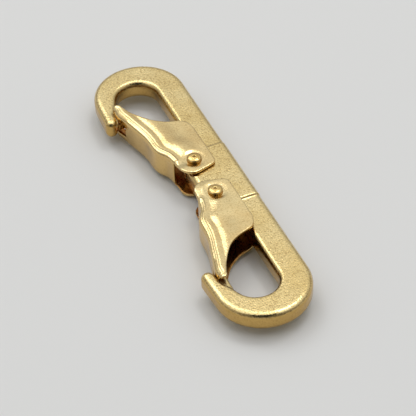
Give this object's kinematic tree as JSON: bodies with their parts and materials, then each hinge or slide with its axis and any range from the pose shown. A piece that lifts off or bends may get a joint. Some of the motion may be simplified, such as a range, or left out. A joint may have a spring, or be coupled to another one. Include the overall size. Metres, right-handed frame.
{
  "type": "double ended snap hook",
  "caption": "Flat brass bar snap with a hook at each end, closed by riveted sheet gates that are pushed inwards to open and spring shut.",
  "frame": {"origin": "centre of the bounding box, midway between the two hooks and between the two faces", "axes": "+X along the snap to the right hook, +Y to the side that the gates are on, +Z out of one flat face"},
  "size_m": [0.1, 0.0246, 0.0098],
  "materials": {
    "cast_brass": "satin, fine grain",
    "sheet_brass": "satin",
    "rivet_brass": "satin",
    "spring_steel": "drawn wire"
  },
  "bodies": {
    "frame": {"hook_body": "cast_brass", "left_rivet": "rivet_brass", "right_rivet": "rivet_brass", "left_spring": "spring_steel", "right_spring": "spring_steel"},
    "left_gate": {"left_gate": "sheet_brass"},
    "right_gate": {"right_gate": "sheet_brass"}
  },
  "joints": [
    {"name": "left_gate_swing", "type": "hinge", "parent": "frame", "child": "left_gate", "pos_m": [-0.00654, -0.00211, 0], "axis": [0, 0, 1], "range_deg": [0, 24], "stiffness_Nm_per_rad": 0.05, "springref_deg": -11.46, "deforming": ["left_spring"]},
    {"name": "right_gate_swing", "type": "hinge", "parent": "frame", "child": "right_gate", "pos_m": [0.00654, -0.00211, 0], "axis": [0, 0, -1], "range_deg": [0, 24], "stiffness_Nm_per_rad": 0.05, "springref_deg": -11.46, "deforming": ["right_spring"]}
  ]
}
